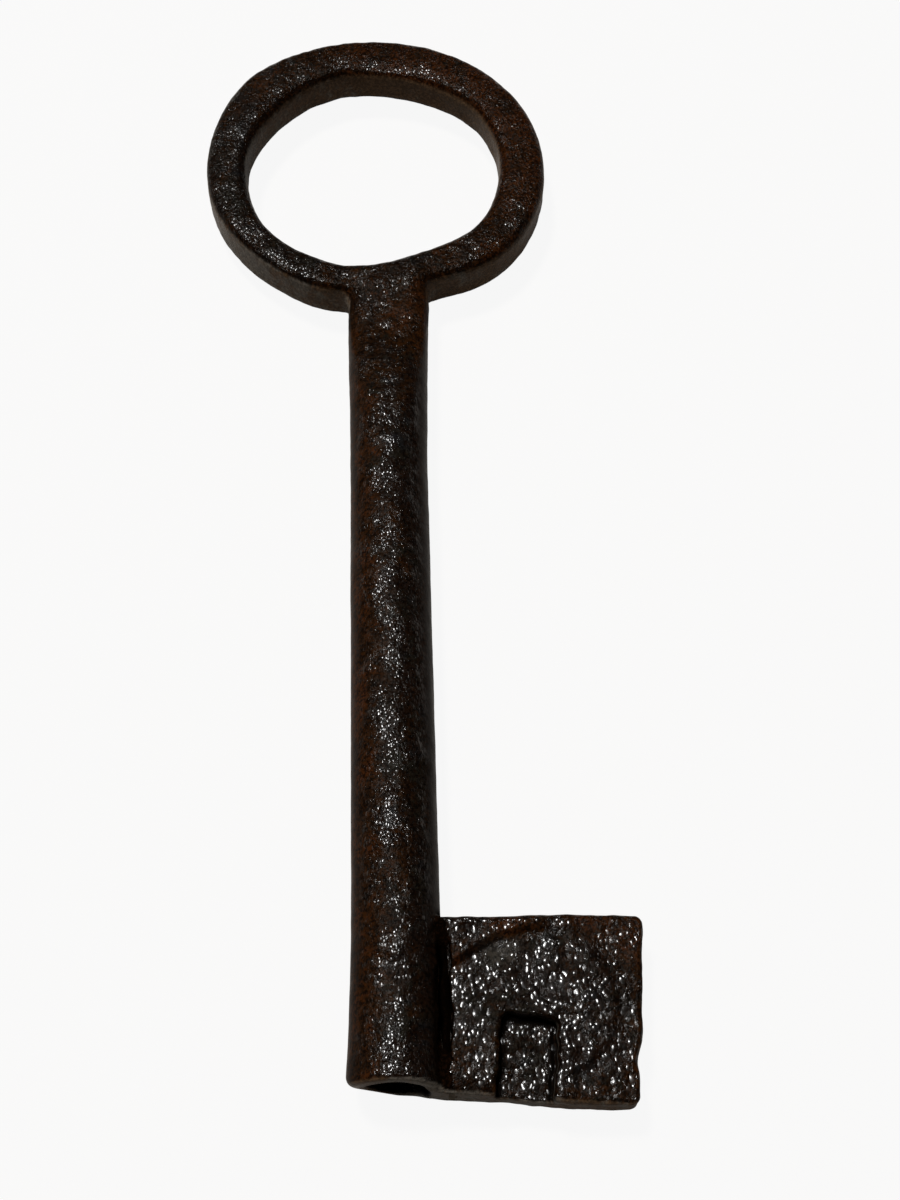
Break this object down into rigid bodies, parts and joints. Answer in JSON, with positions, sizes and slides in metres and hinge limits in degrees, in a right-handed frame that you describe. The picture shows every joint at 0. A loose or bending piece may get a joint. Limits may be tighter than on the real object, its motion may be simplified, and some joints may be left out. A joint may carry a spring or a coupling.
{
  "type": "pipe key",
  "caption": "Large old iron pipe key with a round ring bow, a round hollow-ended stem and a flat bit with a shallow rectangular ward recess in its face.",
  "frame": {"origin": "centre of the pipe bore at the mouth, where the lock's pin enters", "axes": "+Y along the stem towards the bow, +X from the stem towards the bit's tip, +Z out of the face that has the ward recess; the key lies flat in the XY plane"},
  "size_m": [0.0547, 0.1632, 0.011],
  "materials": {
    "stem_iron": "pitted dark iron with rust patches, oiled",
    "bow_iron": "pitted dark iron with rust patches, oiled, worn smoother on its walls",
    "bit_iron": "coarsely pitted dark iron, grey where worn, oiled",
    "braze": "brazing filler darkened by rust and grime"
  },
  "bodies": {
    "root": {"stem": "stem_iron", "bow": "bow_iron", "bit": "bit_iron", "bow_braze": "braze", "bit_braze": "braze"}
  },
  "joints": []
}
